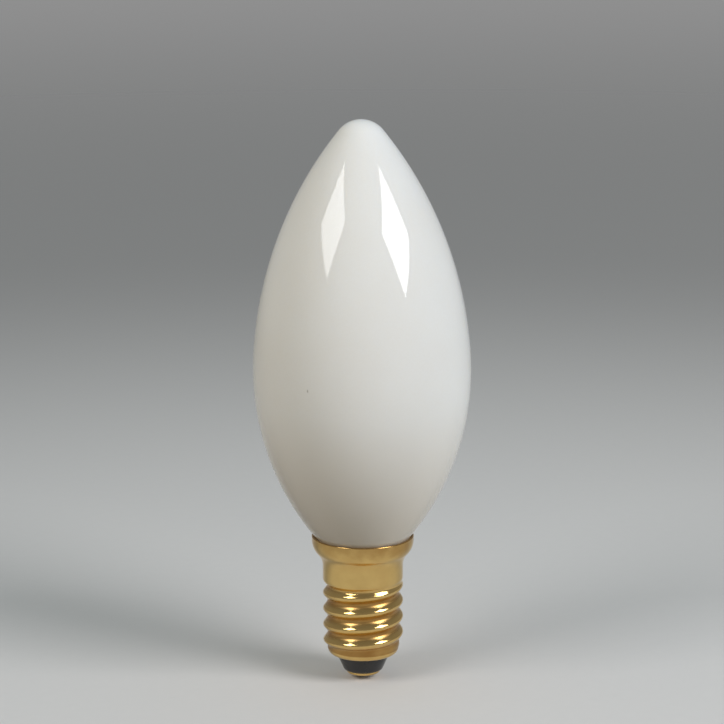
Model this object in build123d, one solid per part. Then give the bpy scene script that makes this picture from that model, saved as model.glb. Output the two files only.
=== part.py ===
from build123d import *
import os
from math import asin, atan2, cos, degrees, radians, sin, sqrt

# Candle bulb with an E14 screw cap. The axis of the lamp is Z, the origin is the very end of the
# centre contact, and the glass points up. Sizes are in millimetres.

# Glass, with its heights taken from the rim of the cap
glass_height = 71.7         # rim of the cap to the tip
belly_diameter = 37.0       # widest ring
belly_height = 29.0         # rim of the cap to the widest ring
flank_start = 2.8           # widest ring to where the long flank arc takes over
tip_radius = 4.8            # rounded tip
neck_length = 9.0           # neck inside the cap, below the rim
neck_blend = 3.0            # hollow arc from the body to the neck
neck_end_round = 1.2        # sealed lower end of the neck

# Brass shell of the cap
sheet = 0.3                 # thickness of the drawn sheet
thread_diameter = 13.8      # over the crests
thread_depth = 0.8          # crest to root
thread_pitch = 2.822        # nine threads to the inch
thread_turns = 4.5
runout_turns = 0.6          # stretch at each end over which the thread fades out
collar_length = 2.0         # plain band above the thread
flare_width = 1.85          # how far the skirt flares beyond the crests
flare_height = 4.6
rim_band = 0.8              # straight edge of the skirt around the glass
lip_bend = 1.0              # outer bend of the turned-in lower lip
lip_flat = 0.4              # flat part of that lip

# Cement between glass and skirt
cement_gap = 0.15           # width of the cement line at the rim
cement_set_back = 0.1       # rim to the top of the cement
cement_depth = 5.0          # top to bottom of the cement

# Insulator
insulator_drop = 3.0        # height of the cone below the lip
insulator_base = 2.0        # thickness of its disc inside the shell
insulator_margin = 0.4      # end face beyond the contact plate

# Centre contact and its solder
contact_diameter = 5.8
contact_thickness = 0.5
contact_round = 0.3         # rounded edge of the plate
eyelet_bore = 1.8
eyelet_wall = 0.3
eyelet_length = 1.6         # barrel that stands up into the insulator
solder_diameter = 3.8
solder_height = 0.9
solder_fill = 1.2           # plug of solder inside the eyelet

# Clearances
neck_clearance = 0.3        # neck to the roots of the thread, inside the shell
seat_clearance = 0.05       # insulator to shell and to eyelet

# Number of level circles that carry one turn of the thread
levels_per_turn = 12

# Heights, stacked up from the end of the contact
contact_z = solder_height
seat_z = contact_z + contact_thickness
lip_z = seat_z + insulator_drop
thread_z = lip_z + lip_bend
collar_z = thread_z + thread_turns * thread_pitch
flare_z = collar_z + collar_length
rim_z = flare_z + flare_height + rim_band

# Radii that the pieces share
crest_radius = thread_diameter / 2
root_radius = crest_radius - thread_depth
rim_radius = crest_radius + flare_width
lip_hole_radius = root_radius - lip_bend - lip_flat
contact_radius = contact_diameter / 2
bore_radius = eyelet_bore / 2
barrel_radius = bore_radius + eyelet_wall
neck_radius = root_radius - sheet - neck_clearance
glass_rim_radius = rim_radius - sheet - cement_gap


def turned(outline):
    """Solid turned about Z from a half outline of (radius, height); its ends are closed to the axis."""
    first = outline @ 0
    last = outline @ 1
    foot = Vector(0, first.Y)
    head = Vector(0, last.Y)
    spine = [Line(head, foot)]
    if last.X > 0:
        spine.append(Line(last, head))
    if first.X > 0:
        spine.append(Line(foot, first))
    return revolve(Plane.XZ * make_face(outline + spine), Axis.Z)


def ring(outline):
    """Ring turned about Z from a closed outline of (radius, height)."""
    return revolve(Plane.XZ * make_face(outline), Axis.Z)


def arc_between(centre, start, end, bulge):
    """Arc from start to end about a centre; bulge is a direction from the centre towards its middle."""
    radius = (start - centre).length
    return ThreePointArc(start, centre + bulge.normalized() * radius, end)


def glass_envelope():
    """Blown glass: neck, hollow blend, body arc, flank arc and tip arc, each tangent to the next."""
    belly_z = rim_z + belly_height
    tip_z = rim_z + glass_height
    neck_z = rim_z - neck_length

    # The body arc is upright at the widest ring and passes just inside the rim of the cap
    narrowing = belly_diameter / 2 - glass_rim_radius
    body_radius = (narrowing**2 + belly_height**2) / (2 * narrowing)
    body_centre = Vector(belly_diameter / 2 - body_radius, belly_z)

    # The flank arc leaves the body arc a little above the widest ring and runs into the tip arc
    lean = asin(flank_start / body_radius)
    outward = Vector(cos(lean), sin(lean))
    flank_foot = body_centre + outward * body_radius
    tip_centre = Vector(0, tip_z - tip_radius)
    reach = tip_centre - flank_foot
    flank_radius = (reach.length**2 - tip_radius**2) / (-2 * (reach.dot(outward) + tip_radius))
    flank_centre = flank_foot - outward * flank_radius
    tip_foot = tip_centre + (tip_centre - flank_centre).normalized() * tip_radius

    # The blend arc lies outside the body arc and touches the straight neck
    blend_x = neck_radius + neck_blend
    blend_fall = sqrt((body_radius + neck_blend) ** 2 - (blend_x - body_centre.X) ** 2)
    blend_centre = Vector(blend_x, belly_z - blend_fall)
    body_foot = body_centre + (blend_centre - body_centre).normalized() * body_radius

    end_centre = Vector(neck_radius - neck_end_round, neck_z + neck_end_round)
    end_start = end_centre - Vector(0, neck_end_round)
    end_stop = end_centre + Vector(neck_end_round, 0)
    neck_top = blend_centre - Vector(neck_blend, 0)
    tip = Vector(0, tip_z)
    outline = Line((0, neck_z), end_start)
    outline += arc_between(end_centre, end_start, end_stop, Vector(1, -1))
    outline += Line(end_stop, neck_top)
    outline += arc_between(blend_centre, neck_top, body_foot, (neck_top + body_foot) / 2 - blend_centre)
    outline += arc_between(body_centre, body_foot, flank_foot, (body_foot + flank_foot) / 2 - body_centre)
    outline += arc_between(flank_centre, flank_foot, tip_foot, (flank_foot + tip_foot) / 2 - flank_centre)
    outline += arc_between(tip_centre, tip_foot, tip, (tip_foot + tip) / 2 - tip_centre)
    return turned(outline)


def skirt_line(inset):
    """Collar, flare and rim band as a line from bottom to top, set in from the outer face of the sheet."""
    flare_turn = 2 * atan2(flare_width, flare_height)
    flare_radius = flare_height / (2 * sin(flare_turn))
    collar = Line((crest_radius - inset, collar_z), (crest_radius - inset, flare_z))
    swell = JernArc(collar @ 1, (0, 1), flare_radius + inset, -degrees(flare_turn))
    upturn = JernArc(swell @ 1, swell % 1, flare_radius - inset, degrees(flare_turn))
    band = Line(upturn @ 1, (rim_radius - inset, rim_z))
    return collar + swell + upturn + band


def lip_line(inset):
    """Turned-in lower lip as a line from its hole out to the thread, set in from the outer face."""
    flat_edge = Vector(lip_hole_radius, lip_z + inset)
    bend_start = Vector(lip_hole_radius + lip_flat, lip_z + inset)
    flat = Line(flat_edge, bend_start)
    bend = JernArc(bend_start, (1, 0), lip_bend - inset, 90)
    return flat + bend


def fade(share):
    """Smooth step from 0 to 1 as share goes from 0 to 1."""
    held = min(max(share, 0), 1)
    return held * held * (3 - 2 * held)


def thread_body(inset):
    """Round screw body: every level is a circle, set off centre towards the crest of the thread.

    The circle swings once round the axis in each pitch. At the lower end its swing fades to the root
    circle, and at the upper end to the crest circle, where it meets the lip and the collar.
    """
    swing = thread_depth / 2
    level_count = round(thread_turns * levels_per_turn)
    levels = []
    for level in range(level_count + 1):
        turn = thread_turns * level / level_count
        rise = fade(turn / runout_turns)
        fall = fade((thread_turns - turn) / runout_turns)
        radius = root_radius + swing * (1 + rise - fall) - inset
        heading = radians(360 * turn)
        offset = swing * rise * fall
        place = Pos(offset * cos(heading), offset * sin(heading), thread_z + turn * thread_pitch)
        levels.append(place * Circle(radius))
    return loft(levels)


def screw_shell():
    """Drawn brass sheet: flared skirt, rolled round thread and turned-in lip, all of one thickness."""
    skirt = turned(skirt_line(0)) - turned(skirt_line(sheet))
    thread = thread_body(0) - thread_body(sheet)
    outer_lip = lip_line(0)
    inner_lip = lip_line(sheet)
    hole_edge = Line(outer_lip @ 0, inner_lip @ 0)
    top_edge = Line(outer_lip @ 1, inner_lip @ 1)
    lip = ring(outer_lip + inner_lip + [hole_edge, top_edge])
    return skirt + thread + lip


def basing_cement(glass):
    """Cement that fills the flare between the skirt and the glass, just short of the rim."""
    top = rim_z - cement_set_back
    slab = Pos(0, 0, top - cement_depth / 2) * Cylinder(rim_radius, cement_depth)
    return (turned(skirt_line(sheet)) & slab) - glass


def insulator():
    """Moulded glass: a disc on the lip inside the shell, a waist through its hole, and a cone below."""
    end_radius = contact_radius + insulator_margin
    hole_radius = barrel_radius + seat_clearance
    waist_radius = lip_hole_radius - seat_clearance
    disc_radius = root_radius - sheet - seat_clearance
    disc_z = lip_z + sheet
    corner = lip_bend - sheet
    top_z = disc_z + insulator_base
    corner_start = Vector(disc_radius - corner, disc_z)
    outline = Polyline(
        (hole_radius, top_z),
        (hole_radius, seat_z),
        (end_radius, seat_z),
        (waist_radius, lip_z),
        (waist_radius, disc_z),
        corner_start,
    )
    bend = JernArc(corner_start, (1, 0), corner, 90)
    side = Polyline(bend @ 1, (disc_radius, top_z), (hole_radius, top_z))
    return ring(outline + bend + side)


def centre_contact():
    """Eyelet: a flat plate with a rounded lower edge and a barrel that stands up into the insulator."""
    plate = Pos(0, 0, contact_z) * extrude(Circle(contact_radius), contact_thickness)
    rim = plate.edges().sort_by(Axis.Z)[0]
    plate = fillet(rim, min(contact_round, 0.8 * contact_thickness))
    barrel = Pos(0, 0, seat_z) * extrude(Circle(barrel_radius), eyelet_length)
    bore = Pos(0, 0, contact_z) * extrude(Circle(bore_radius), contact_thickness + eyelet_length)
    return plate + barrel - bore


def centre_solder():
    """Bead of solder: a low dome under the plate and a plug inside the eyelet."""
    dome_radius = (solder_diameter**2 / 4 + solder_height**2) / (2 * solder_height)
    edge = Vector(solder_diameter / 2, contact_z)
    dome = RadiusArc((0, 0), edge, -dome_radius)
    plug = Polyline(edge, (bore_radius, contact_z), (bore_radius, contact_z + solder_fill))
    return turned(dome + plug)


glass = glass_envelope()
pieces = {
    "glass_envelope": glass,
    "screw_shell": screw_shell(),
    "basing_cement": basing_cement(glass),
    "insulator": insulator(),
    "centre_contact": centre_contact(),
    "centre_solder": centre_solder(),
}
os.makedirs("parts", exist_ok=True)
for name, solid in pieces.items():
    export_step(solid, f"parts/{name}.step")
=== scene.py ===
import math
from typing import NamedTuple

import bpy
import numpy as np
from bpy.props import FloatProperty, FloatVectorProperty, IntProperty, PointerProperty
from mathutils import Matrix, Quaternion, Vector


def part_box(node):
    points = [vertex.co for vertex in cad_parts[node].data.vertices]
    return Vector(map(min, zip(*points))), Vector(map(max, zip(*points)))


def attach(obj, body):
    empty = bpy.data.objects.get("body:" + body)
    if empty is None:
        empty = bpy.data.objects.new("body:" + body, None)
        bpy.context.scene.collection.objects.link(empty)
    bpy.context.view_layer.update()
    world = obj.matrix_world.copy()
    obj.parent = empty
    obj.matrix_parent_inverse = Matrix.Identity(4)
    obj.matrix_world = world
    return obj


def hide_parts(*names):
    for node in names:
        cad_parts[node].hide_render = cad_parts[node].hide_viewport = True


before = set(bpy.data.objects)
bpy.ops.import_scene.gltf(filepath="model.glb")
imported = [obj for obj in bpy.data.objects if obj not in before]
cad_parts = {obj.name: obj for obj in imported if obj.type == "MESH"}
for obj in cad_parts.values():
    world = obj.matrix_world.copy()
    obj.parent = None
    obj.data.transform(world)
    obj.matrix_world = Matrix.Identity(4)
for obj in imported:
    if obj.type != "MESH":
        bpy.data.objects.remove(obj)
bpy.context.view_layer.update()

bl_info = {
    "name": "Candle Bulb",
    "version": (1, 0, 0),
    "blender": (4, 5, 0),
    "location": "View3D > Sidebar > Candle Bulb",
    "description": "Builds an opal glass candle bulb on its brass screw cap, and a stage to show it on",
    "category": "Add Mesh",
}

TAU = 2 * math.pi
BODY = "root"

# Lowest and highest corner of each piece, from the frame, in metres
GLASS_LOW, GLASS_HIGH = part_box("glass_envelope")
SHELL_LOW, SHELL_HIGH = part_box("screw_shell")
CEMENT_LOW, CEMENT_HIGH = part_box("basing_cement")
INSULATOR_LOW, INSULATOR_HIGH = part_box("insulator")
CONTACT_LOW, CONTACT_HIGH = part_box("centre_contact")
SOLDER_LOW, SOLDER_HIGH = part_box("centre_solder")


class Wave(NamedTuple):
    """Wave on a turned piece: its height, lobes round the axis, twist per metre and phase."""

    height: float
    lobes: int
    twist: float = 0.0
    phase: float = 0.0


class Pattern(NamedTuple):
    """Noise in a finish: its scale per metre, its detail and its stretch along each axis.

    What lies between the two levels of the band is spread over the range that it gives. Depth is the
    depth of its relief in metres, where the finish has one.
    """

    scale: float
    detail: float
    stretch: tuple = (1.0, 1.0, 1.0)
    band: tuple = (0.3, 0.7)
    gives: tuple = (0.0, 1.0)
    depth: float = 0.0


class SoftBox(NamedTuple):
    """Soft box: azimuth from the camera's side, elevation and spin in degrees, and size in metres."""

    azimuth: float
    elevation: float
    spin: float
    width: float
    height: float


# Waves in the wall of the glass and in the top of the cement, as shares of their mean depth
GLASS_WAVES = (
    Wave(height=1 / 3, lobes=2, twist=90.0),
    Wave(height=1 / 3, lobes=3, twist=-140.0, phase=1.0),
    Wave(height=1 / 3, lobes=0, twist=210.0),
)
CEMENT_WAVES = (
    Wave(height=0.44, lobes=3, phase=0.4),
    Wave(height=0.36, lobes=7, phase=2.0),
    Wave(height=0.2, lobes=16),
)

# Lobes of the bead of solder, as shares of its widest radius
SOLDER_WAVES = (
    Wave(height=0.035, lobes=2, phase=0.6),
    Wave(height=0.025, lobes=3, phase=2.1),
    Wave(height=0.01, lobes=7),
)

# Patterns of the glass: clouds and grain thin the coating, polish gives a roughness, and turning in its
# mould has left faint rings
COATING_CLOUD = Pattern(scale=70.0, detail=3.0, gives=(0.0, 0.12))
COATING_GRAIN = Pattern(scale=2600.0, detail=2.0, band=(0.35, 0.65), gives=(0.0, 0.05))
GLASS_POLISH = Pattern(scale=120.0, detail=4.0, band=(0.35, 0.7), gives=(0.025, 0.05))
MOULD_RINGS = Pattern(scale=60.0, detail=2.0, stretch=(0.35, 0.35, 5.0), depth=0.000004)

# Patterns of the brass: marks change its roughness, stains brown and dull it, and the edges of its tints
# are ragged by a length in metres
BRASS_MARKS = Pattern(scale=400.0, detail=4.0, stretch=(0.25, 0.25, 14.0), gives=(-0.03, 0.03),
                      depth=0.000014)
BRASS_STAIN = Pattern(scale=260.0, detail=5.0, band=(0.35, 0.75), gives=(0.0, 0.3))
HEAT_EDGE = Pattern(scale=350.0, detail=3.0, gives=(-0.001, 0.001))
FLUX_EDGE = Pattern(scale=900.0, detail=3.0, gives=(-0.0002, 0.0002))

# Patterns of the other pieces and of the floor, where the ranges are of roughness
CEMENT_GRAIN = Pattern(scale=3000.0, detail=4.0, gives=(0.6, 0.9), depth=0.0001)
BLACK_PATCH = Pattern(scale=700.0, detail=4.0, band=(0.4, 0.75), gives=(0.05, 0.2))
BLACK_SKIN = Pattern(scale=420.0, detail=2.0, depth=0.00012)
SOLDER_SKIN = Pattern(scale=1500.0, detail=5.0, gives=(0.25, 0.5), depth=0.00018)
PAPER_FIBRE = Pattern(scale=500.0, detail=3.0)

# Dark grain in the opal coating on the front left of the glass: middle, half width and tallness
SPECK = Vector((-0.00897, -0.01618, 0.0546))
SPECK_REACH = 0.00018
SPECK_TALL = 2.0

# Depth in the groove, as a share, from which the thread browns
GROOVE_START = 0.45

# Distances from the axis between which the flux round the solder fades out
FLUX_START = 0.9 * SOLDER_HIGH.x
FLUX_END = 0.85 * CONTACT_HIGH.x

# Levels of the thread outside and inside, rows of the cement, and rows of the solder's dome
THREAD_LEVELS = 150
INNER_THREAD_LEVELS = 90
CEMENT_ROWS = 24
SOLDER_ROWS = 28

# First ring of the solder's dome, as a share of its radius
SOLDER_START = 0.04

# Rings of the floor and faces round it
FLOOR_RINGS = 23
FLOOR_AROUND = 96

# Soft boxes to the left and right of the camera
LEFT_BOX = SoftBox(azimuth=-50.6, elevation=36.2, spin=-28.3, width=0.414, height=0.370)
RIGHT_BOX = SoftBox(azimuth=55.8, elevation=32.1, spin=33.8, width=0.422, height=0.456)

# Stretches of a direction's X, Y and Z over which the soft light passes from one glow to the next
LEFT_TO_RIGHT = (-1.0, 0.6)
FRONT_TO_BACK = (-0.2, 0.9)
SIDES_TO_TOP = (0.25, 0.95)
LEVEL_TO_TOP = (0.0, 1.0)

# Sockets of a mix node that mixes colours: its share and two colours, and its result
MIX_INPUTS = (0, 6, 7)
MIX_RESULT = 2


def length(name, default, description):
    """A length property in metres, shown in the scene's units."""
    return FloatProperty(name=name, default=default, description=description, unit="LENGTH",
                         precision=5)


def fraction(name, default, description):
    """A property between 0 and 1."""
    return FloatProperty(name=name, default=default, description=description, subtype="FACTOR",
                         min=0, max=1)


def turns(name, default, description):
    """A property that counts turns of the thread."""
    return FloatProperty(name=name, default=default, description=description)


def power(name, default, description):
    """The power of a light, in watts."""
    return FloatProperty(name=name, default=default, description=description, unit="POWER")


def slope(name, default, description):
    """An angle property, with its default in degrees."""
    return FloatProperty(name=name, default=math.radians(default), description=description,
                         subtype="ANGLE")


def colour(name, default, description):
    """A linear colour property."""
    return FloatVectorProperty(name=name, default=default, description=description, subtype="COLOR",
                               size=3, min=0, max=1)


class GlassSettings(bpy.types.PropertyGroup):
    """Outline and finish of the blown glass."""

    belly_radius: length("Belly radius", GLASS_HIGH.x, "Radius of the widest ring")
    belly_height: length("Belly height", 0.029, "Rim of the cap to the widest ring")
    flank_start: length("Flank start", 0.0028, "Widest ring to where the long flank arc takes over")
    tip_radius: length("Tip radius", 0.0048, "Radius of the rounded tip")
    cement_gap: length("Cement gap", 0.00015, "Width of the cement line between rim and glass")
    neck_radius: length("Neck radius", 0.0055, "Radius of the neck inside the cap")
    neck_blend: length("Neck blend", 0.003, "Hollow arc from the body to the neck")
    neck_end_round: length("Neck end", 0.0012, "Rounding of the sealed lower end of the neck")
    ripple: length("Ripple", 0.000006, "Mean depth of the faint waves that blowing leaves")
    opal: colour("Opal", (0.84, 0.848, 0.855), "Colour of the opal coating")
    # Painted shade: the thin opal colour and its reach darken and warm the lower glass for the shade that
    # falls there, besides the thinner coating
    thin_and_shade_reach: length("Thin reach", 0.027, "Height above the rim over which the coating thins out")
    thin_and_shaded_opal: colour("Thin opal", (0.723, 0.66, 0.585), "Colour where the coating has thinned out")
    speck: colour("Speck", (0.2, 0.19, 0.17), "Colour of a dark grain in the coating")
    speck_cover: fraction("Speck cover", 0.7, "How much of the coating that grain hides")


class CapSettings(bpy.types.PropertyGroup):
    """Sizes and finish of the brass shell and the cement."""

    sheet: length("Sheet", 0.0003, "Thickness of the drawn sheet")
    crest_radius: length("Crest radius", 0.0069, "Radius over the crests of the thread")
    thread_depth: length("Thread depth", 0.0008, "Crest to root")
    thread_pitch: length("Thread pitch", 0.002822, "Rise of the thread in one turn")
    thread_turns: turns("Turns", 4.5, "Turns of the thread")
    runout_turns: turns("Run-out", 0.6, "Turns over which the thread fades at each end")
    collar_length: length("Collar", 0.002, "Plain band above the thread")
    rim_band: length("Rim band", 0.0008, "Straight edge of the skirt around the glass")
    lip_bend: length("Lip bend", 0.001, "Outer bend of the turned-in lower lip")
    lip_flat: length("Lip flat", 0.0004, "Flat part of that lip")
    brass: colour("Brass", (0.81, 0.56, 0.21), "Clean brass")
    tarnish: colour("Tarnish", (0.4, 0.21, 0.06), "Fully browned brass")
    polish: fraction("Polish", 0.08, "Roughness of clean brass")
    dullness: fraction("Dullness", 0.42, "Roughness of fully dulled brass")
    root_brown: fraction("Root brown", 0.75, "How brown the roots of the thread are")
    heat_brown: fraction("Heat brown", 0.5, "How brown baking the cement has left the rim")
    heat_reach: length("Heat reach", 0.003, "Height below the rim over which that brown fades out")
    cement: colour("Cement", (0.34, 0.21, 0.09), "Baked cement")
    cement_shade: fraction("Cement shade", 0.55, "Brightness of its darker grains")
    cement_sag: length("Cement sag", 0.0001, "Mean depth of the waves in the top of the cement")
    cement_crack: length("Cement crack", 0.00001, "Hairline between the cement and its neighbours")


class ContactSettings(bpy.types.PropertyGroup):
    """Sizes and finish of the insulator, the centre contact and its solder."""

    seat_clearance: length("Seat clearance", 0.00005, "Insulator to shell and to eyelet")
    insulator_margin: length("Insulator margin", 0.0004, "End face of the insulator beyond the plate")
    insulator_edge: length("Insulator edge", 0.00025, "Broken edge round that end face")
    plate_thickness: length("Plate", 0.0005, "Thickness of the contact plate")
    plate_round: length("Plate edge", 0.0003, "Rounded edge of the plate")
    bore_radius: length("Bore", 0.0009, "Bore of the eyelet")
    eyelet_wall: length("Eyelet wall", 0.0003, "Wall of the eyelet's barrel")
    ring_radius: length("Ring radius", 0.00225, "Radius of the ring stamped into the plate")
    ring_width: length("Ring width", 0.00014, "Half width of that ring")
    ring_depth: length("Ring depth", 0.00008, "Depth of that ring")
    flux_brown: fraction("Flux brown", 0.8, "How brown the flux has left the plate round the solder")
    black: colour("Black glass", (0.012, 0.012, 0.014), "Moulded black glass")
    black_bloom: fraction("Bloom", 0.012, "How much paler its dull patches are")
    solder: colour("Solder", (0.56, 0.56, 0.55), "Tin solder")
    solder_shade: fraction("Solder shade", 0.6, "Brightness of its darker parts")
    solder_spread: fraction("Solder spread", 0.93, "Mean radius of the bead as a share of its widest")


class StageSettings(bpy.types.PropertyGroup):
    """Floor, light and camera."""

    floor_radius: length("Floor radius", 1.2, "Radius of the round floor")
    floor: colour("Floor", (0.715, 0.695, 0.69), "Pale paper of the floor, as it is seen")
    fibre_shade: fraction("Fibre shade", 0.97, "Brightness of its darker fibres")
    # Painted shade: the far floor colour and the grade below draw the paper greyer further from the bulb,
    # a painted fall-off of light
    far_floor_shade: colour("Far floor", (0.385, 0.37, 0.37), "The same paper further out, where it greys")
    grade_start: length("Grade start", 0.06, "Distance from the bulb at which the paper starts to grey")
    grade_end: length("Grade end", 0.4, "Distance at which it has its far colour")
    fade_start: length("Fade start", 0.2, "Distance at which it starts to fade into the backdrop")
    left_bench: colour("Left bench", (0.02, 0.02, 0.02), "Dark bench under the bulb, on the left")
    right_bench: colour("Right bench", (0.545, 0.545, 0.505), "Pale bench under the bulb, on the right")
    bench_fade: length("Bench fade", 0.08, "Width over which the dark bench passes into the pale one")
    backdrop: colour("Backdrop", (0.28, 0.28, 0.28), "Grey that shows behind the floor")
    ceiling: colour("Ceiling", (0.2, 0.2, 0.2), "Grey that shows overhead")
    left_glow: colour("Left glow", (0.84, 0.68, 0.4), "Soft light from the left")
    right_glow: colour("Right glow", (0.14, 0.125, 0.125), "Soft light from the right")
    back_glow: colour("Back glow", (0.6, 0.6, 0.58), "Soft light from behind")
    top_glow: colour("Top glow", (0.05, 0.145, 0.2), "Faint light from straight above")
    light_distance: length("Light distance", 0.9, "Distance of the two soft boxes")
    light_height: length("Light aim", 0.075, "Height on the bulb that they are aimed at")
    left_power: power("Left light", 2.6, "Left soft box")
    right_power: power("Right light", 5.5, "Right soft box")
    camera_distance: length("Camera distance", 0.5242, "Camera to the point that it looks at")
    camera_height: length("Camera aim", 0.0558, "Height on the axis that the camera looks at")
    camera_elevation: slope("Camera elevation", 12.9, "Angle at which the camera looks down")
    camera_roll: slope("Camera roll", 0.24, "Lean of the bulb in the picture, to the left")
    lens: FloatProperty(name="Lens", default=154.0, description="Focal length in millimetres",
                        unit="CAMERA")


class BulbSettings(bpy.types.PropertyGroup):
    """Everything that a user would change on the candle bulb."""

    around: IntProperty(name="Segments", default=240, min=24, description="Faces round each piece")
    glass: PointerProperty(name="Glass", type=GlassSettings, description="The blown glass")
    cap: PointerProperty(name="Cap", type=CapSettings, description="The brass shell and its cement")
    contact: PointerProperty(name="Contact", type=ContactSettings, description="The end of the cap")
    stage: PointerProperty(name="Stage", type=StageSettings, description="What shows the bulb off")


def smooth_step(share):
    """0 below 0, 1 above 1, and 3s^2 - 2s^3 between."""
    held = np.clip(share, 0, 1)
    return held * held * (3 - 2 * held)


def line(start, end, points):
    """Points from start towards end, evenly spaced, without the end itself."""
    share = np.arange(points)[:, None] / points
    return np.asarray(start) * (1 - share) + np.asarray(end) * share


def arc(centre, start, end, points):
    """Points on a circle about centre, evenly spaced the short way round, without the end itself."""
    centre = np.asarray(centre)
    from_centre = np.asarray(start) - centre
    to_centre = np.asarray(end) - centre
    first = math.atan2(from_centre[1], from_centre[0])
    sweep = math.remainder(math.atan2(to_centre[1], to_centre[0]) - first, TAU)
    angle = first + sweep * np.arange(points) / points
    return centre + np.hypot(*from_centre) * np.column_stack([np.cos(angle), np.sin(angle)])


def ring_angles(around):
    """Angles of the columns of a turned surface, once round the axis."""
    return TAU * np.arange(around) / around


def wave_sum(waves, angle, height=0.0):
    """Sum of waves at an angle a and a height z.

    Each wave adds h sin(l a + t z + p), with its height h, lobes l, twist t and phase p.
    """
    total = 0.0
    for wave in waves:
        total = total + wave.height * np.sin(wave.lobes * angle + wave.twist * height + wave.phase)
    return total


def turned(profile, around):
    """Radius and height grids of a profile of (radius, height) carried once round the axis."""
    rows = np.asarray(profile)[:, :, None] * np.ones(around)
    return rows[:, 0], rows[:, 1]


def surface(name, radius, height, poles=(None, None), loop=False):
    """Object made of a grid of radius r and height z, with one row a ring and one column an angle a.

    Each point is (r cos a, r sin a, z). Rows run up the outside, so that the faces point outwards. A
    pole closes the first or last ring at a height on the axis. A loop joins the last ring to the first.
    """
    rows, around = radius.shape
    angle = ring_angles(around)
    grid = np.stack([radius * np.cos(angle), radius * np.sin(angle), height], axis=-1)
    points = grid.reshape(-1, 3)
    column = np.arange(around)
    beside = (column + 1) % around
    row = np.arange(rows if loop else rows - 1)[:, None]
    above = (row + 1) % rows
    quads = np.stack([row * around + column, row * around + beside,
                      above * around + beside, above * around + column], axis=-1)
    faces = quads.reshape(-1, 4).tolist()
    low, high = poles
    if low is not None:
        points = np.vstack([points, [0, 0, low]])
        fan = np.stack([np.full(around, len(points) - 1), beside, column], axis=-1)
        faces += fan.tolist()
    if high is not None:
        points = np.vstack([points, [0, 0, high]])
        last = (rows - 1) * around
        fan = np.stack([np.full(around, len(points) - 1), last + column, last + beside], axis=-1)
        faces += fan.tolist()
    mesh = bpy.data.meshes.new(name)
    mesh.from_pydata(points.tolist(), [], faces)
    mesh.shade_smooth()
    mesh.update()
    made = bpy.data.objects.new(name, mesh)
    bpy.context.scene.collection.objects.link(made)
    return made


def seat(made, cad_node, material):
    """Puts a piece in the frame: it has its finish, rides on the body and stands for its node."""
    made.data.materials.append(material)
    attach(made, BODY)
    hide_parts(cad_node)


def glass_outline(glass, cap):
    """Half outline of the glass: neck, hollow blend, body arc, flank arc and tip arc, bottom to top.

    The body arc is upright at the widest ring and passes just inside the rim of the cap. The flank arc
    leaves it a little higher and is tangent to it and to the tip arc. The blend arc lies outside the body
    arc, tangent to it and to the straight neck.
    """
    rim = SHELL_HIGH.z
    belly = np.array([glass.belly_radius, rim + glass.belly_height])
    rim_radius = SHELL_HIGH.x - cap.sheet - glass.cement_gap
    narrowing = glass.belly_radius - rim_radius
    body_radius = (narrowing**2 + glass.belly_height**2) / (2 * narrowing)
    body_centre = belly - [body_radius, 0]

    lean = math.asin(glass.flank_start / body_radius)
    outward = np.array([math.cos(lean), math.sin(lean)])
    flank_foot = body_centre + outward * body_radius
    tip_centre = np.array([0, GLASS_HIGH.z - glass.tip_radius])
    reach = tip_centre - flank_foot
    flank_radius = (reach @ reach - glass.tip_radius**2) / (-2 * (reach @ outward + glass.tip_radius))
    flank_centre = flank_foot - outward * flank_radius
    tip_way = tip_centre - flank_centre
    tip_foot = tip_centre + tip_way / np.hypot(*tip_way) * glass.tip_radius

    blend_x = glass.neck_radius + glass.neck_blend
    blend_fall = math.sqrt((body_radius + glass.neck_blend) ** 2 - (blend_x - body_centre[0]) ** 2)
    blend_centre = np.array([blend_x, belly[1] - blend_fall])
    blend_way = blend_centre - body_centre
    body_foot = body_centre + blend_way / np.hypot(*blend_way) * body_radius

    end_round = glass.neck_end_round
    end_centre = np.array([glass.neck_radius, GLASS_LOW.z]) + [-end_round, end_round]
    end_start = end_centre - [0, end_round]
    end_stop = end_centre + [end_round, 0]
    neck_top = blend_centre - [glass.neck_blend, 0]
    tip = np.array([0, GLASS_HIGH.z])
    return np.vstack([
        arc(end_centre, end_start, end_stop, points=6),
        line(end_stop, neck_top, points=4),
        arc(blend_centre, neck_top, body_foot, points=14),
        arc(body_centre, body_foot, flank_foot, points=84),
        arc(flank_centre, flank_foot, tip_foot, points=72),
        arc(tip_centre, tip_foot, tip, points=24),
    ])


def root_radius(cap):
    """Radius over the roots of the thread."""
    return cap.crest_radius - cap.thread_depth


def hole_radius(cap):
    """Radius of the hole in the turned-in lip."""
    return root_radius(cap) - cap.lip_bend - cap.lip_flat


def thread_foot(cap):
    """Height of the lower end of the thread, where the bend of the lip ends."""
    return SHELL_LOW.z + cap.lip_bend


def lip_outline(cap, inset):
    """Turned-in lower lip from its hole out to the foot of the thread, set in from the outer face."""
    bend_centre = np.array([root_radius(cap) - cap.lip_bend, thread_foot(cap)])
    bend_start = bend_centre - [0, cap.lip_bend - inset]
    bend_end = bend_centre + [cap.lip_bend - inset, 0]
    return np.vstack([
        line(bend_start - [cap.lip_flat - cap.sheet / 2, 0], bend_start, points=3),
        arc(bend_centre, bend_start, bend_end, points=10),
    ])


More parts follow.
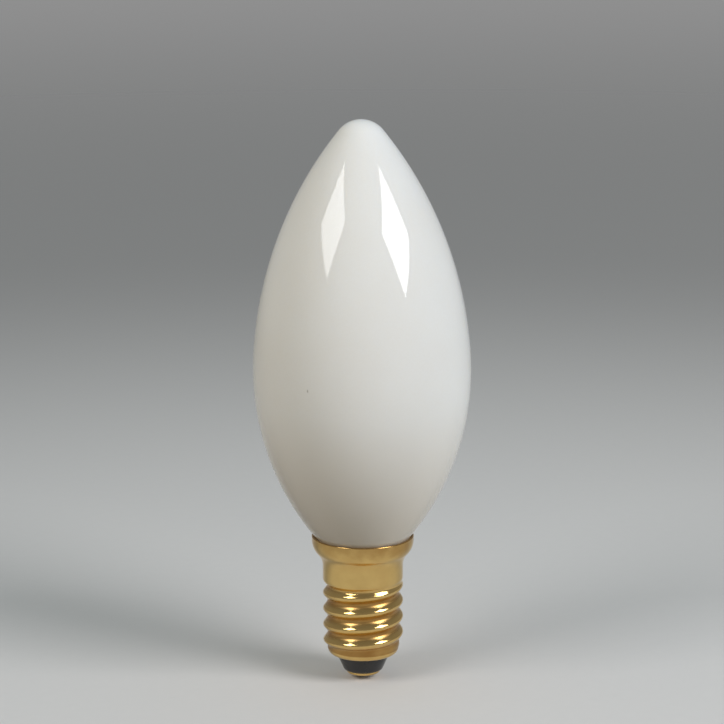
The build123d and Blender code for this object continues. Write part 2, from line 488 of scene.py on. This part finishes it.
def thread_grid(cap, inset, levels, around):
    """Radius and height of the rolled round thread, set in from the outer face of the sheet.

    Each level is a circle set off centre towards the crest, which swings once round the axis in a pitch:
    r = o cos(a - t) + sqrt(c^2 - o^2 sin^2(a - t)), with circle c, offset o, angle a and turn t. The
    offset fades out at both ends, into the root circle below and the crest circle above.
    """
    turn = cap.thread_turns * np.arange(levels)[:, None] / levels
    rise = smooth_step(turn / cap.runout_turns)
    fall = smooth_step((cap.thread_turns - turn) / cap.runout_turns)
    swing = cap.thread_depth / 2
    circle = root_radius(cap) + swing * (1 + rise - fall) - inset
    offset = swing * rise * fall
    angle = ring_angles(around) - TAU * turn
    radius = offset * np.cos(angle) + np.sqrt(circle**2 - (offset * np.sin(angle)) ** 2)
    height = thread_foot(cap) + turn * cap.thread_pitch
    return radius, height * np.ones(around)


def skirt_outline(cap, inset):
    """Collar, flare and rim band, bottom to top, set in from the outer face of the sheet.

    The flare is two equal arcs, the lower one curving outwards and the upper one back to upright.
    """
    foot = thread_foot(cap) + cap.thread_turns * cap.thread_pitch
    flare_foot = foot + cap.collar_length
    flare_top = SHELL_HIGH.z - cap.rim_band
    width = SHELL_HIGH.x - cap.crest_radius
    turn = 2 * math.atan2(width, flare_top - flare_foot)
    radius = (flare_top - flare_foot) / (2 * math.sin(turn))
    low_centre = np.array([cap.crest_radius + radius, flare_foot])
    high_centre = np.array([SHELL_HIGH.x - radius, flare_top])
    way = np.array([math.cos(turn), -math.sin(turn)])
    collar = np.array([cap.crest_radius - inset, foot])
    low_start = low_centre - [radius + inset, 0]
    middle = high_centre + way * (radius - inset)
    high_end = high_centre + [radius - inset, 0]
    return np.vstack([
        line(collar, low_start, points=5),
        arc(low_centre, low_start, middle, points=16),
        arc(high_centre, middle, high_end, points=16),
        line(high_end, [high_end[0], SHELL_HIGH.z - cap.sheet / 2], points=4),
    ])


def make_glass(settings):
    """The blown glass: its outline turned about the axis, with faint waves in the wall.

    The waves only draw the wall in, by the ripple on average, and die out towards the axis.
    """
    glass = settings.glass
    radius, height = turned(glass_outline(glass, settings.cap), settings.around)
    wave = wave_sum(GLASS_WAVES, ring_angles(settings.around), height)
    radius = radius - glass.ripple * (1 + wave) * np.minimum(radius / glass.tip_radius, 1)
    return surface("opal_glass_envelope", radius, height, poles=(GLASS_LOW.z, GLASS_HIGH.z))


def make_shell(settings):
    """The drawn brass sheet: lip, thread and skirt outside, a rounded rim, and the same again inside.

    Its groove attribute is how deep a point lies in the thread: 0 at the crest and 1 at the root.
    """
    cap = settings.cap
    around = settings.around
    half = cap.sheet / 2
    rim_centre = np.array([SHELL_HIGH.x - half, SHELL_HIGH.z - half])
    rim_outside = arc(rim_centre, rim_centre + [half, 0], rim_centre + [0, half], points=5)
    rim_inside = arc(rim_centre, rim_centre + [0, half], rim_centre - [half, 0], points=5)
    hole_centre = np.array([hole_radius(cap) + half, SHELL_LOW.z + half])
    hole_inside = arc(hole_centre, hole_centre + [0, half], hole_centre - [half, 0], points=4)
    hole_outside = arc(hole_centre, hole_centre - [half, 0], hole_centre - [0, half], points=4)

    lip = turned(lip_outline(cap, 0), around)
    thread = thread_grid(cap, 0, THREAD_LEVELS, around)
    skirt = turned(np.vstack([skirt_outline(cap, 0), rim_outside, rim_inside]), around)
    inner_skirt = turned(skirt_outline(cap, cap.sheet)[::-1], around)
    inner_thread = [part[::-1] for part in thread_grid(cap, cap.sheet, INNER_THREAD_LEVELS, around)]
    # The rounded edge of the hole starts where the lip does, so the inner lip leaves that point out
    lip_back = lip_outline(cap, cap.sheet)[:0:-1]
    inner_lip = turned(np.vstack([lip_back, hole_inside, hole_outside]), around)

    stretches = (lip, thread, skirt, inner_skirt, inner_thread, inner_lip)
    radius = np.vstack([part[0] for part in stretches])
    height = np.vstack([part[1] for part in stretches])
    made = surface("rolled_screw_shell", radius, height, loop=True)
    start = len(lip[0])
    depth = (cap.crest_radius - thread[0]) / cap.thread_depth
    groove = np.zeros_like(radius)
    groove[start:start + THREAD_LEVELS] = np.clip(depth, 0, 1)
    made.data.attributes.new("groove", "FLOAT", "POINT").data.foreach_set("value", groove.ravel())
    return made


def make_cement(settings):
    """The cement ring: out to the skirt, in to the glass, with an uneven top just under the rim.

    Its rows are spaced evenly from the flat bottom to the wavy top. At each height the outer radius is
    that of the inside of the skirt, and the inner radius that of the glass.
    """
    cap = settings.cap
    around = settings.around
    glass = glass_outline(settings.glass, cap)
    skirt = skirt_outline(cap, cap.sheet)
    top = CEMENT_HIGH.z - cap.cement_sag * (1 + wave_sum(CEMENT_WAVES, ring_angles(around)))
    share = np.linspace(0, 1, CEMENT_ROWS)[:, None]
    height = CEMENT_LOW.z + share * (top - CEMENT_LOW.z)
    outer = np.interp(height, skirt[:, 1], skirt[:, 0]) - cap.cement_crack
    inner = np.interp(height, glass[:, 1], glass[:, 0]) + cap.cement_crack
    radius = np.vstack([outer, inner[::-1]])
    return surface("baked_cement_ring", radius, np.vstack([height, height[::-1]]), loop=True)


def make_insulator(settings):
    """The moulded black glass: end face, cone, waist in the lip's hole, and disc inside the shell.

    It is turned from straight lines and one arc, which follows the bend of the lip.
    """
    cap = settings.cap
    contact = settings.contact
    end = CONTACT_HIGH.x + contact.insulator_margin
    bore = contact.bore_radius + contact.eyelet_wall + contact.seat_clearance
    waist = hole_radius(cap) - contact.seat_clearance
    side = INSULATOR_HIGH.x
    low = INSULATOR_LOW.z
    lip = SHELL_LOW.z
    disc = lip + cap.sheet
    top = INSULATOR_HIGH.z
    cone = np.array([waist - end, lip - low])
    edge_start = np.array([end - contact.insulator_edge, low])
    edge_end = np.array([end, low]) + cone / np.hypot(*cone) * contact.insulator_edge
    corner = cap.lip_bend - cap.sheet
    bend_centre = np.array([side - corner, disc + corner])
    bend_start = bend_centre - [0, corner]
    bend_end = bend_centre + [corner, 0]
    profile = np.vstack([
        line([bore, low], edge_start, points=6),
        line(edge_start, edge_end, points=1),
        line(edge_end, [waist, lip], points=14),
        line([waist, lip], [waist, disc], points=2),
        line([waist, disc], bend_start, points=3),
        arc(bend_centre, bend_start, bend_end, points=8),
        line(bend_end, [side, top], points=3),
        line([side, top], [bore, top], points=6),
        line([bore, top], [bore, low], points=6),
    ])
    radius, height = turned(profile, settings.around)
    return surface("black_glass_insulator", radius, height, loop=True)


def make_contact(settings):
    """The eyelet: a stamped plate with a rounded edge and a shallow ring, and its barrel.

    The ring is a bell-shaped dent: d exp(-((r - m) / w)^2), with depth d, middle m and half width w.
    """
    contact = settings.contact
    bore = contact.bore_radius
    barrel = bore + contact.eyelet_wall
    side = CONTACT_HIGH.x
    low = CONTACT_LOW.z
    seat_z = low + contact.plate_thickness
    top = CONTACT_HIGH.z
    edge = contact.plate_round
    edge_centre = np.array([side - edge, low + edge])
    face = line([bore, low], [side - edge, low], points=40)
    from_ring = (face[:, 0] - contact.ring_radius) / contact.ring_width
    face[:, 1] += contact.ring_depth * np.exp(-from_ring**2)
    profile = np.vstack([
        face,
        arc(edge_centre, edge_centre - [0, edge], edge_centre + [edge, 0], points=8),
        line([side, low + edge], [side, seat_z], points=2),
        line([side, seat_z], [barrel, seat_z], points=4),
        line([barrel, seat_z], [barrel, top], points=4),
        line([barrel, top], [bore, top], points=2),
        line([bore, top], [bore, low], points=6),
    ])
    radius, height = turned(profile, settings.around)
    return surface("stamped_contact_plate", radius, height, loop=True)


def make_solder(settings):
    """The bead of solder: a lobed low dome under the plate, and a plug inside the eyelet.

    A ring of the dome, at share s of its radius, stands at 1 - sqrt(1 - s^2) of the dome's height, and
    takes on share s of the lobes.
    """
    around = settings.around
    bore = settings.contact.bore_radius
    share = np.linspace(SOLDER_START, 1, SOLDER_ROWS)[:, None]
    lobes = settings.contact.solder_spread + wave_sum(SOLDER_WAVES, ring_angles(around))
    dome_radius = SOLDER_HIGH.x * share * (1 + (lobes - 1) * share)
    dome_height = CONTACT_LOW.z * (1 - np.sqrt(1 - share**2)) * np.ones(around)
    plug_foot = [bore, CONTACT_LOW.z]
    plug_top = [bore, SOLDER_HIGH.z]
    plug = np.vstack([line(plug_foot, plug_top, points=4), plug_top])
    plug_radius, plug_height = turned(plug, around)
    radius = np.vstack([dome_radius, plug_radius])
    height = np.vstack([dome_height, plug_height])
    return surface("solder_bead", radius, height, poles=(SOLDER_LOW.z, SOLDER_HIGH.z))


def make_floor(stage):
    """The round floor: flat rings whose radius grows with the square of their number."""
    share = np.arange(1, FLOOR_RINGS + 1)[:, None] / FLOOR_RINGS
    radius = stage.floor_radius * share**2 * np.ones(FLOOR_AROUND)
    return surface("floor", radius[::-1], np.zeros_like(radius), poles=(None, 0.0))


def node(tree, kind, inputs=None, **settings):
    """Adds a node. Each input is a value, or the output socket that feeds it."""
    made = tree.nodes.new(kind)
    for name, value in settings.items():
        setattr(made, name, value)
    for name, value in (inputs or {}).items():
        if isinstance(value, bpy.types.NodeSocket):
            tree.links.new(value, made.inputs[name])
        else:
            made.inputs[name].default_value = value
    return made


def new_finish(name, **sockets):
    """A material with one Principled shader, and the constants that are set on its own sockets."""
    material = bpy.data.materials.new(name)
    material.use_nodes = True
    tree = material.node_tree
    shader = tree.nodes["Principled BSDF"]
    for socket, value in sockets.items():
        shader.inputs[socket.replace("_", " ")].default_value = value
    place = node(tree, "ShaderNodeTexCoord").outputs["Object"]
    return material, tree, shader, place


def along(tree, place, axis):
    """One coordinate of a place."""
    return node(tree, "ShaderNodeSeparateXYZ", {"Vector": place}).outputs[axis]


def distance(tree, place):
    """Distance of a place from the origin."""
    return node(tree, "ShaderNodeVectorMath", {0: place}, operation="LENGTH").outputs["Value"]


def stretched(tree, place, scale):
    """A place with each coordinate times its own scale."""
    return node(tree, "ShaderNodeMapping", {"Vector": place, "Scale": scale}).outputs["Vector"]


def add_up(tree, first, second):
    """Sum of two values, held between 0 and 1."""
    made = node(tree, "ShaderNodeMath", {0: first, 1: second}, operation="ADD", use_clamp=True)
    return made.outputs["Value"]


def larger(tree, first, second):
    """The larger of two values."""
    return node(tree, "ShaderNodeMath", {0: first, 1: second}, operation="MAXIMUM").outputs["Value"]


def remap(tree, value, old, new=(0.0, 1.0), smooth=False):
    """Takes a value from an old range to a new one and holds it there, by a straight or S-shaped run."""
    made = node(tree, "ShaderNodeMapRange", {"Value": value, "From Min": old[0], "From Max": old[1],
                                             "To Min": new[0], "To Max": new[1]})
    made.interpolation_type = "SMOOTHSTEP" if smooth else "LINEAR"
    return made.outputs["Result"]


def noise(tree, place, pattern):
    """Noise of a pattern over the piece's own coordinates."""
    made = node(tree, "ShaderNodeTexNoise", {"Vector": stretched(tree, place, pattern.stretch),
                                             "Scale": pattern.scale, "Detail": pattern.detail})
    return made.outputs["Fac"]


def spread(tree, place, pattern):
    """Noise of a pattern, with its band spread over the range that the pattern gives."""
    return remap(tree, noise(tree, place, pattern), pattern.band, pattern.gives)


def mix(tree, share, first, second):
    """Colour between two, by a share."""
    made = node(tree, "ShaderNodeMix", data_type="RGBA")
    for number, value in zip(MIX_INPUTS, (share, first, second)):
        if isinstance(value, bpy.types.NodeSocket):
            tree.links.new(value, made.inputs[number])
        else:
            made.inputs[number].default_value = (*value, 1)
    return made.outputs[MIX_RESULT]


def shaded(paint, brightness):
    """A colour at a share of its brightness."""
    return tuple(brightness * value for value in paint)


def relief(tree, shader, height, pattern):
    """Feeds a height between 0 and 1 into the shader's normal, at the full depth of its pattern."""
    made = node(tree, "ShaderNodeBump", {"Height": height, "Strength": 1.0, "Distance": pattern.depth})
    tree.links.new(made.outputs["Normal"], shader.inputs["Normal"])


def opal_finish(glass):
    """Opal glass: a white coating behind clear glossy glass, thinner, warmer and darker close to the
    neck, partly from the thinner coating and partly painted shade low on the glass.
    """
    material, tree, shader, place = new_finish(
        "opal_glass", IOR=1.5, Subsurface_Weight=0.35, Subsurface_Scale=0.0025,
        Subsurface_Radius=(1.0, 0.94, 0.84))
    rim = SHELL_HIGH.z
    # Painted shade: the coating is drawn darker and warmer towards the rim, partly for the thinner
    # coating and partly for the shade low on the glass
    thin_and_shade = remap(tree, along(tree, place, "Z"), (rim, rim + glass.thin_and_shade_reach), (1.0, 0.0))
    uneven = add_up(tree, spread(tree, place, COATING_CLOUD), spread(tree, place, COATING_GRAIN))
    coating = mix(tree, larger(tree, uneven, thin_and_shade), glass.opal, glass.thin_and_shaded_opal)
    from_speck = node(tree, "ShaderNodeVectorMath", {0: place, 1: SPECK}, operation="SUBTRACT")
    squat = stretched(tree, from_speck.outputs["Vector"], (1, 1, 1 / SPECK_TALL))
    speck = remap(tree, distance(tree, squat), (0.0, SPECK_REACH), (glass.speck_cover, 0.0))
    tree.links.new(mix(tree, speck, coating, glass.speck), shader.inputs["Base Color"])
    tree.links.new(spread(tree, place, GLASS_POLISH), shader.inputs["Roughness"])
    relief(tree, shader, noise(tree, place, MOULD_RINGS), MOULD_RINGS)
    return material


def brass_finish(name, settings, tarnish):
    """Brass sheet: fine marks round the axis, soft handling stains, and tarnish where the piece has it.

    Tarnish is a function of the settings, the node tree and the place. It gives how brown and how dull
    the brass is.
    """
    cap = settings.cap
    material, tree, shader, place = new_finish(name, Metallic=1.0)
    marks = noise(tree, place, BRASS_MARKS)
    streak = remap(tree, marks, BRASS_MARKS.band, BRASS_MARKS.gives)
    stain = spread(tree, place, BRASS_STAIN)
    brown, dull = tarnish(settings, tree, place)
    paint = mix(tree, add_up(tree, stain, brown), cap.brass, cap.tarnish)
    rough = remap(tree, add_up(tree, stain, dull), (0.0, 1.0), (cap.polish, cap.dullness))
    tree.links.new(paint, shader.inputs["Base Color"])
    tree.links.new(add_up(tree, rough, streak), shader.inputs["Roughness"])
    relief(tree, shader, marks, BRASS_MARKS)
    return material


def shell_tarnish(settings, tree, place):
    """Brown in the dull roots of the thread, and a bright heat tint where the cement was baked."""
    cap = settings.cap
    groove = node(tree, "ShaderNodeAttribute", attribute_name="groove").outputs["Fac"]
    root = remap(tree, groove, (GROOVE_START, 1.0), (0.0, cap.root_brown))
    edge = add_up(tree, along(tree, place, "Z"), spread(tree, place, HEAT_EDGE))
    tinted = (SHELL_HIGH.z - cap.heat_reach, SHELL_HIGH.z)
    heat = remap(tree, edge, tinted, (0.0, cap.heat_brown), smooth=True)
    return add_up(tree, root, heat), root


def plate_tarnish(settings, tree, place):
    """Brown flux that has run out round the bead of solder."""
    reach = distance(tree, stretched(tree, place, (1, 1, 0)))
    edge = add_up(tree, reach, spread(tree, place, FLUX_EDGE))
    stained = (FLUX_START, FLUX_END)
    flux = remap(tree, edge, stained, (settings.contact.flux_brown, 0.0), smooth=True)
    return flux, flux


def cement_finish(cap):
    """Baked cement: a matt, grainy brown."""
    material, tree, shader, place = new_finish("baked_cement")
    grain = noise(tree, place, CEMENT_GRAIN)
    paint = mix(tree, grain, shaded(cap.cement, cap.cement_shade), cap.cement)
    rough = remap(tree, grain, CEMENT_GRAIN.band, CEMENT_GRAIN.gives)
    tree.links.new(paint, shader.inputs["Base Color"])
    tree.links.new(rough, shader.inputs["Roughness"])
    relief(tree, shader, grain, CEMENT_GRAIN)
    return material


def black_glass_finish(contact):
    """Moulded black glass: glossy, with a slightly wavy skin and a few dull patches."""
    material, tree, shader, place = new_finish("black_glass", IOR=1.55)
    patch = noise(tree, place, BLACK_PATCH)
    pale = tuple(value + contact.black_bloom for value in contact.black)
    rough = remap(tree, patch, BLACK_PATCH.band, BLACK_PATCH.gives)
    tree.links.new(mix(tree, patch, contact.black, pale), shader.inputs["Base Color"])
    tree.links.new(rough, shader.inputs["Roughness"])
    relief(tree, shader, noise(tree, place, BLACK_SKIN), BLACK_SKIN)
    return material


def solder_finish(contact):
    """Tin solder: grey metal that froze with a crumpled, partly dull skin."""
    material, tree, shader, place = new_finish("tin_solder", Metallic=1.0)
    skin = noise(tree, place, SOLDER_SKIN)
    paint = mix(tree, skin, shaded(contact.solder, contact.solder_shade), contact.solder)
    rough = remap(tree, skin, SOLDER_SKIN.band, SOLDER_SKIN.gives)
    tree.links.new(paint, shader.inputs["Base Color"])
    tree.links.new(rough, shader.inputs["Roughness"])
    relief(tree, shader, skin, SOLDER_SKIN)
    return material


def seen_share(tree):
    """1 for rays that show a surface to the camera, straight, mirrored or through glass, and else 0."""
    path = node(tree, "ShaderNodeLightPath").outputs
    mirrored = larger(tree, path["Is Camera Ray"], path["Is Glossy Ray"])
    return larger(tree, mirrored, path["Is Transmission Ray"])


def paper_finish(stage):
    """Pale matt paper with a faint fibre, painted greyer further out as painted shade, and then fading
    into the backdrop.

    Only rays that show it see it so. For the light that it throws up at the bulb it is a bench, nearly
    black on the left and pale on the right. Its lower side is clear.
    """
    material, tree, shader, place = new_finish("stage_paper", Roughness=0.9)
    far = distance(tree, place)
    fibre = noise(tree, place, PAPER_FIBRE)
    near_paper = mix(tree, fibre, shaded(stage.floor, stage.fibre_shade), stage.floor)
    # Painted shade: the seen paper greys with distance from the bulb, a painted fall-off of light
    grade = remap(tree, far, (stage.grade_start, stage.grade_end), smooth=True)
    paper = mix(tree, grade, near_paper, stage.far_floor_shade)
    half = stage.bench_fade / 2
    right_share = remap(tree, along(tree, place, "X"), (-half, half))
    bench = mix(tree, right_share, stage.left_bench, stage.right_bench)
    tree.links.new(mix(tree, seen_share(tree), bench, paper), shader.inputs["Base Color"])
    below = node(tree, "ShaderNodeNewGeometry").outputs["Backfacing"]
    faded = remap(tree, far, (stage.fade_start, stage.floor_radius), smooth=True)
    hidden = larger(tree, below, faded)
    clear = node(tree, "ShaderNodeBsdfTransparent").outputs["BSDF"]
    both = node(tree, "ShaderNodeMixShader", {"Fac": hidden, 1: shader.outputs["BSDF"], 2: clear})
    tree.links.new(both.outputs["Shader"], tree.nodes["Material Output"].inputs["Surface"])
    return material


def soft_box(name, stage, box, watts):
    """Rectangular light, aimed at the glass and turned by its spin about its own beam."""
    azimuth = math.radians(box.azimuth)
    elevation = math.radians(box.elevation)
    spin = Quaternion((0, 0, 1), math.radians(box.spin))
    level = math.cos(elevation)
    away = Vector((math.sin(azimuth) * level, -math.cos(azimuth) * level, math.sin(elevation)))
    light = bpy.data.lights.new(name, "AREA")
    light.shape = "RECTANGLE"
    light.size = box.width
    light.size_y = box.height
    light.energy = watts
    made = bpy.data.objects.new(name, light)
    made.rotation_mode = "QUATERNION"
    made.rotation_quaternion = away.to_track_quat("Z", "Y") @ spin
    made.location = Vector((0, 0, stage.light_height)) + away * stage.light_distance
    bpy.context.scene.collection.objects.link(made)


def surround(stage):
    """Soft light all round: warm from the left, plain from behind, faint from the right and from above.

    Rays that show the surround see a plain grey backdrop and ceiling instead.
    """
    world = bpy.data.worlds.new("surround")
    bpy.context.scene.world = world
    world.use_nodes = True
    tree = world.node_tree
    way = node(tree, "ShaderNodeTexCoord").outputs["Generated"]
    up = along(tree, way, "Z")
    right_share = remap(tree, along(tree, way, "X"), LEFT_TO_RIGHT)
    back_share = remap(tree, along(tree, way, "Y"), FRONT_TO_BACK)
    front = mix(tree, right_share, stage.left_glow, stage.right_glow)
    sides = mix(tree, back_share, front, stage.back_glow)
    glow = mix(tree, remap(tree, up, SIDES_TO_TOP), sides, stage.top_glow)
    plain = mix(tree, remap(tree, up, LEVEL_TO_TOP), stage.backdrop, stage.ceiling)
    tree.links.new(mix(tree, seen_share(tree), glow, plain), tree.nodes["Background"].inputs["Color"])


def look_from(stage):
    """Camera that looks down at the axis from the front, with the slight roll of the picture."""
    elevation = stage.camera_elevation
    away = Vector((0, -math.cos(elevation), math.sin(elevation)))
    roll = Quaternion((0, 0, 1), -stage.camera_roll)
    lens = bpy.data.cameras.new("camera")
    lens.lens = stage.lens
    made = bpy.data.objects.new("camera", lens)
    made.location = Vector((0, 0, stage.camera_height)) + away * stage.camera_distance
    made.rotation_mode = "QUATERNION"
    made.rotation_quaternion = away.to_track_quat("Z", "Y") @ roll
    bpy.context.scene.collection.objects.link(made)
    bpy.context.scene.camera = made


class CANDLE_OT_glass(bpy.types.Operator):
    """Build the blown opal glass"""

    bl_idname = "candle.glass"
    bl_label = "Opal Glass"

    def execute(self, context):
        settings = context.scene.candle_bulb
        seat(make_glass(settings), "glass_envelope", opal_finish(settings.glass))
        return {"FINISHED"}


class CANDLE_OT_shell(bpy.types.Operator):
    """Build the rolled brass shell of the screw cap"""

    bl_idname = "candle.shell"
    bl_label = "Screw Shell"

    def execute(self, context):
        settings = context.scene.candle_bulb
        finish = brass_finish("rolled_brass", settings, shell_tarnish)
        seat(make_shell(settings), "screw_shell", finish)
        return {"FINISHED"}


class CANDLE_OT_cement(bpy.types.Operator):
    """Build the ring of cement between glass and skirt"""

    bl_idname = "candle.cement"
    bl_label = "Cement"

    def execute(self, context):
        settings = context.scene.candle_bulb
        seat(make_cement(settings), "basing_cement", cement_finish(settings.cap))
        return {"FINISHED"}


class CANDLE_OT_insulator(bpy.types.Operator):
    """Build the black glass insulator"""

    bl_idname = "candle.insulator"
    bl_label = "Insulator"

    def execute(self, context):
        settings = context.scene.candle_bulb
        seat(make_insulator(settings), "insulator", black_glass_finish(settings.contact))
        return {"FINISHED"}


class CANDLE_OT_contact(bpy.types.Operator):
    """Build the centre contact and its bead of solder"""

    bl_idname = "candle.contact"
    bl_label = "Centre Contact"

    def execute(self, context):
        settings = context.scene.candle_bulb
        finish = brass_finish("stamped_brass", settings, plate_tarnish)
        seat(make_contact(settings), "centre_contact", finish)
        seat(make_solder(settings), "centre_solder", solder_finish(settings.contact))
        return {"FINISHED"}


class CANDLE_OT_stage(bpy.types.Operator):
    """Build the floor, the lights and the camera"""

    bl_idname = "candle.stage"
    bl_label = "Stage"

    def execute(self, context):
        stage = context.scene.candle_bulb.stage
        floor = make_floor(stage)
        floor.data.materials.append(paper_finish(stage))
        soft_box("soft_box_left", stage, LEFT_BOX, stage.left_power)
        soft_box("soft_box_right", stage, RIGHT_BOX, stage.right_power)
        surround(stage)
        look_from(stage)
        context.scene.view_settings.view_transform = "Standard"
        return {"FINISHED"}


class CANDLE_PT_panel(bpy.types.Panel):
    """Settings and pieces of the candle bulb"""

    bl_idname = "CANDLE_PT_panel"
    bl_label = "Candle Bulb"
    bl_space_type = "VIEW_3D"
    bl_region_type = "UI"
    bl_category = "Candle Bulb"

    def draw(self, context):
        settings = context.scene.candle_bulb
        self.layout.prop(settings, "around")
        for group in (settings.glass, settings.cap, settings.contact, settings.stage):
            box = self.layout.box()
            for name in group.__annotations__:
                box.prop(group, name)
        for operator in OPERATORS:
            self.layout.operator(operator.bl_idname)


OPERATORS = (CANDLE_OT_glass, CANDLE_OT_shell, CANDLE_OT_cement, CANDLE_OT_insulator, CANDLE_OT_contact,
             CANDLE_OT_stage)
CLASSES = (GlassSettings, CapSettings, ContactSettings, StageSettings, BulbSettings, *OPERATORS,
           CANDLE_PT_panel)


def register():
    """Registers the classes and hangs the settings on the scene."""
    for item in CLASSES:
        bpy.utils.register_class(item)
    bpy.types.Scene.candle_bulb = PointerProperty(name="Candle bulb", type=BulbSettings)


def unregister():
    """Takes the settings and the classes away again."""
    del bpy.types.Scene.candle_bulb
    for item in reversed(CLASSES):
        bpy.utils.unregister_class(item)


def main():
    register()
    bpy.ops.candle.glass()
    bpy.ops.candle.shell()
    bpy.ops.candle.cement()
    bpy.ops.candle.insulator()
    bpy.ops.candle.contact()
    bpy.ops.candle.stage()


if __name__ == "__main__":
    main()
